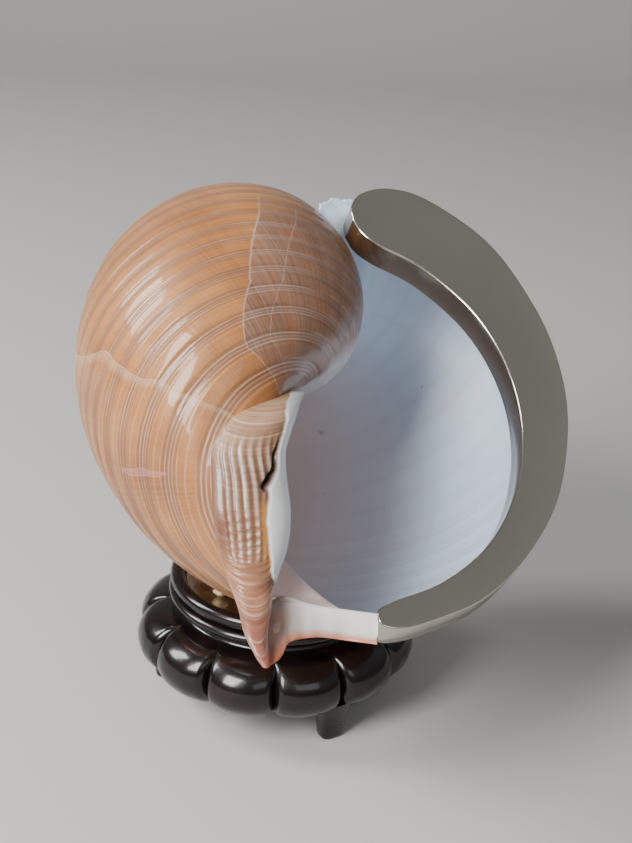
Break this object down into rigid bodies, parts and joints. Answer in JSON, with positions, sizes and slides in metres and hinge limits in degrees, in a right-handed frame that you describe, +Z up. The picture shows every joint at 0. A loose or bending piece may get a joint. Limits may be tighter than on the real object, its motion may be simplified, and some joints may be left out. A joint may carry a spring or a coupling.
{
  "type": "giant tun shell with a metal lip on a carved wooden stand",
  "caption": "Whole ribbed tun shell with a wide open mouth, a polished metal crescent over its outer lip, glued on a dished metal seat in a lobed dark wood stand with short feet.",
  "frame": {"origin": "on the ground under the middle of the whole object's box", "axes": "+Z up, -Y towards the viewer who looks into the shell's mouth, +X to that viewer's right"},
  "size_m": [0.181, 0.217, 0.1912],
  "materials": {
    "shell": "natural shell: glossy orange-tan outside with paler grooves and riblets, white callus and mouth",
    "metal": "polished warm grey white metal",
    "rosewood": "near-black rosewood under glossy lacquer",
    "glue": "hardened tan glue"
  },
  "bodies": {
    "root": {"shell": "shell", "lip_crescent": "metal", "seat_plate": "metal", "stand": "rosewood", "glue_dab_1": "glue", "glue_dab_2": "glue"}
  },
  "joints": []
}
